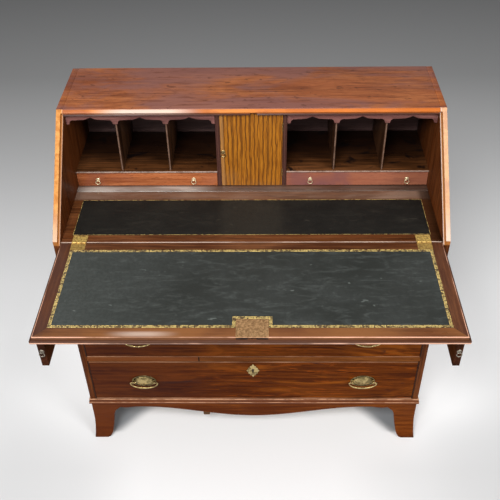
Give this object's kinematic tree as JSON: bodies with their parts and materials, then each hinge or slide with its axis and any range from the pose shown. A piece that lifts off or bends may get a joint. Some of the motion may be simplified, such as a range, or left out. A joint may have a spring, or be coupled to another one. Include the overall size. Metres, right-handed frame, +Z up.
{
  "type": "writing bureau",
  "caption": "Slant-front writing bureau: a sloping fall opens onto pulled-out lopers as a desk before a nest of pigeonholes, over long drawers on bracket feet.",
  "frame": {"origin": "on the floor under the middle of the bureau as it stands open", "axes": "+X to the viewer's right, +Y towards the back, +Z up"},
  "size_m": [0.979, 0.7654, 1.002],
  "materials": {
    "mahogany": "polished",
    "dark_mahogany": "waxed",
    "pine": "bare",
    "striped_wood": "polished",
    "leather": "worn",
    "brass": "aged"
  },
  "bodies": {
    "case": {"back_board": "pine", "base_front": "mahogany", "base_moulding": "mahogany", "base_side_left": "mahogany", "base_side_right": "mahogany", "bottom_board": "pine", "cupboard_wall_left": "mahogany", "cupboard_wall_right": "mahogany", "desk_board": "mahogany", "desk_hinge_left": "brass", "desk_hinge_right": "brass", "desk_leather": "leather", "divider_inner_left": "dark_mahogany", "divider_inner_right": "dark_mahogany", "divider_outer_left": "dark_mahogany", "divider_outer_right": "dark_mahogany", "loper_guide_left": "mahogany", "loper_guide_right": "mahogany", "nest_base": "mahogany", "nest_floor_left": "mahogany", "nest_floor_right": "mahogany", "rail_lower": "mahogany", "rail_middle": "mahogany", "rail_upper": "mahogany", "side_left": "mahogany", "side_right": "mahogany", "top_board": "mahogany", "valance_left": "mahogany", "valance_right": "mahogany"},
    "drawer_bottom": {"drawer_bottom": "mahogany"},
    "drawer_bottom_left_bail": {"drawer_bottom_left_bail": "brass"},
    "drawer_bottom_right_bail": {"drawer_bottom_right_bail": "brass"},
    "drawer_lower": {"drawer_lower": "mahogany"},
    "drawer_lower_left_bail": {"drawer_lower_left_bail": "brass"},
    "drawer_lower_right_bail": {"drawer_lower_right_bail": "brass"},
    "drawer_upper": {"drawer_upper": "mahogany"},
    "drawer_upper_left_bail": {"drawer_upper_left_bail": "brass"},
    "drawer_upper_right_bail": {"drawer_upper_right_bail": "brass"},
    "drawer_top": {"drawer_top": "mahogany", "drawer_top_front": "mahogany"},
    "drawer_top_left_bail": {"drawer_top_left_bail": "brass"},
    "drawer_top_right_bail": {"drawer_top_right_bail": "brass"},
    "letter_drawer_left": {"letter_drawer_left": "dark_mahogany"},
    "letter_drawer_right": {"letter_drawer_right": "dark_mahogany"},
    "letter_ring_inner_left": {"letter_ring_inner_left": "brass"},
    "letter_ring_outer_left": {"letter_ring_outer_left": "brass"},
    "loper_left": {"loper_left": "mahogany"},
    "loper_ring_left": {"loper_ring_left": "brass"},
    "letter_ring_inner_right": {"letter_ring_inner_right": "brass"},
    "letter_ring_outer_right": {"letter_ring_outer_right": "brass"},
    "loper_right": {"loper_right": "mahogany"},
    "loper_ring_right": {"loper_ring_right": "brass"},
    "cupboard_door": {"cupboard_door": "striped_wood"},
    "door_ring": {"door_ring": "brass"},
    "fall": {"fall_board": "mahogany", "fall_leather": "leather", "fall_lock": "brass", "fall_hinge_left": "brass", "fall_hinge_right": "brass"},
    "fall_bolt": {"fall_lock_bolt": "brass"}
  },
  "joints": [
    {"name": "drawer_bottom_slide", "type": "slide", "parent": "case", "child": "drawer_bottom", "axis": [0, -1, 0], "range_m": [0, 0.3]},
    {"name": "drawer_bottom_left_bail_swing", "type": "hinge", "parent": "drawer_bottom", "child": "drawer_bottom_left_bail", "pos_m": [-0.31442, -0.08082, 0.2509], "axis": [-1, 0, 0], "range_deg": [0, 95]},
    {"name": "drawer_bottom_right_bail_swing", "type": "hinge", "parent": "drawer_bottom", "child": "drawer_bottom_right_bail", "pos_m": [0.31442, -0.08082, 0.2509], "axis": [-1, 0, 0], "range_deg": [0, 95]},
    {"name": "drawer_lower_slide", "type": "slide", "parent": "case", "child": "drawer_lower", "axis": [0, -1, 0], "range_m": [0, 0.3]},
    {"name": "drawer_lower_left_bail_swing", "type": "hinge", "parent": "drawer_lower", "child": "drawer_lower_left_bail", "pos_m": [-0.31442, -0.08082, 0.42884], "axis": [-1, 0, 0], "range_deg": [0, 95]},
    {"name": "drawer_lower_right_bail_swing", "type": "hinge", "parent": "drawer_lower", "child": "drawer_lower_right_bail", "pos_m": [0.31442, -0.08082, 0.42884], "axis": [-1, 0, 0], "range_deg": [0, 95]},
    {"name": "drawer_upper_slide", "type": "slide", "parent": "case", "child": "drawer_upper", "axis": [0, -1, 0], "range_m": [0, 0.3]},
    {"name": "drawer_upper_left_bail_swing", "type": "hinge", "parent": "drawer_upper", "child": "drawer_upper_left_bail", "pos_m": [-0.31442, -0.08082, 0.57516], "axis": [-1, 0, 0], "range_deg": [0, 95]},
    {"name": "drawer_upper_right_bail_swing", "type": "hinge", "parent": "drawer_upper", "child": "drawer_upper_right_bail", "pos_m": [0.31442, -0.08082, 0.57516], "axis": [-1, 0, 0], "range_deg": [0, 95]},
    {"name": "drawer_top_slide", "type": "slide", "parent": "case", "child": "drawer_top", "axis": [0, -1, 0], "range_m": [0, 0.3]},
    {"name": "drawer_top_left_bail_swing", "type": "hinge", "parent": "drawer_top", "child": "drawer_top_left_bail", "pos_m": [-0.31442, -0.08082, 0.69922], "axis": [-1, 0, 0], "range_deg": [0, 95]},
    {"name": "drawer_top_right_bail_swing", "type": "hinge", "parent": "drawer_top", "child": "drawer_top_right_bail", "pos_m": [0.31442, -0.08082, 0.69922], "axis": [-1, 0, 0], "range_deg": [0, 95]},
    {"name": "letter_drawer_left_slide", "type": "slide", "parent": "case", "child": "letter_drawer_left", "axis": [0, -1, 0], "range_m": [0, 0.13]},
    {"name": "letter_drawer_right_slide", "type": "slide", "parent": "case", "child": "letter_drawer_right", "axis": [0, -1, 0], "range_m": [0, 0.13]},
    {"name": "letter_ring_inner_left_swing", "type": "hinge", "parent": "letter_drawer_left", "child": "letter_ring_inner_left", "pos_m": [-0.15484, 0.16711, 0.78433], "axis": [-1, 0, 0], "range_deg": [0, 100]},
    {"name": "letter_ring_outer_left_swing", "type": "hinge", "parent": "letter_drawer_left", "child": "letter_ring_outer_left", "pos_m": [-0.41093, 0.16711, 0.78433], "axis": [-1, 0, 0], "range_deg": [0, 100]},
    {"name": "loper_left_slide", "type": "slide", "parent": "case", "child": "loper_left", "axis": [0, -1, 0], "range_m": [-0.28796, 0]},
    {"name": "loper_ring_left_swing", "type": "hinge", "parent": "loper_left", "child": "loper_ring_left", "pos_m": [-0.4577, -0.36578, 0.69917], "axis": [-1, 0, 0], "range_deg": [0, 100]},
    {"name": "letter_ring_inner_right_swing", "type": "hinge", "parent": "letter_drawer_right", "child": "letter_ring_inner_right", "pos_m": [0.15484, 0.16711, 0.78433], "axis": [-1, 0, 0], "range_deg": [0, 100]},
    {"name": "letter_ring_outer_right_swing", "type": "hinge", "parent": "letter_drawer_right", "child": "letter_ring_outer_right", "pos_m": [0.41093, 0.16711, 0.78433], "axis": [-1, 0, 0], "range_deg": [0, 100]},
    {"name": "loper_right_slide", "type": "slide", "parent": "case", "child": "loper_right", "axis": [0, -1, 0], "range_m": [-0.28796, 0]},
    {"name": "loper_ring_right_swing", "type": "hinge", "parent": "loper_right", "child": "loper_ring_right", "pos_m": [0.4577, -0.36578, 0.69917], "axis": [-1, 0, 0], "range_deg": [0, 100]},
    {"name": "cupboard_door_hinge", "type": "hinge", "parent": "case", "child": "cupboard_door", "pos_m": [0.08, 0.17161, 0.8746], "axis": [0, 0, 1], "range_deg": [0, 90]},
    {"name": "door_ring_swing", "type": "hinge", "parent": "cupboard_door", "child": "door_ring", "pos_m": [-0.073, 0.16711, 0.87018], "axis": [-1, 0, 0], "range_deg": [0, 100]},
    {"name": "fall_hinge", "type": "hinge", "parent": "case", "child": "fall", "pos_m": [0, -0.06332, 0.762], "axis": [1, 0, 0], "range_deg": [-136, 0]},
    {"name": "fall_bolt_slide", "type": "slide", "parent": "fall", "child": "fall_bolt", "axis": [0, -1, 0], "range_m": [0, 0.009]}
  ]
}
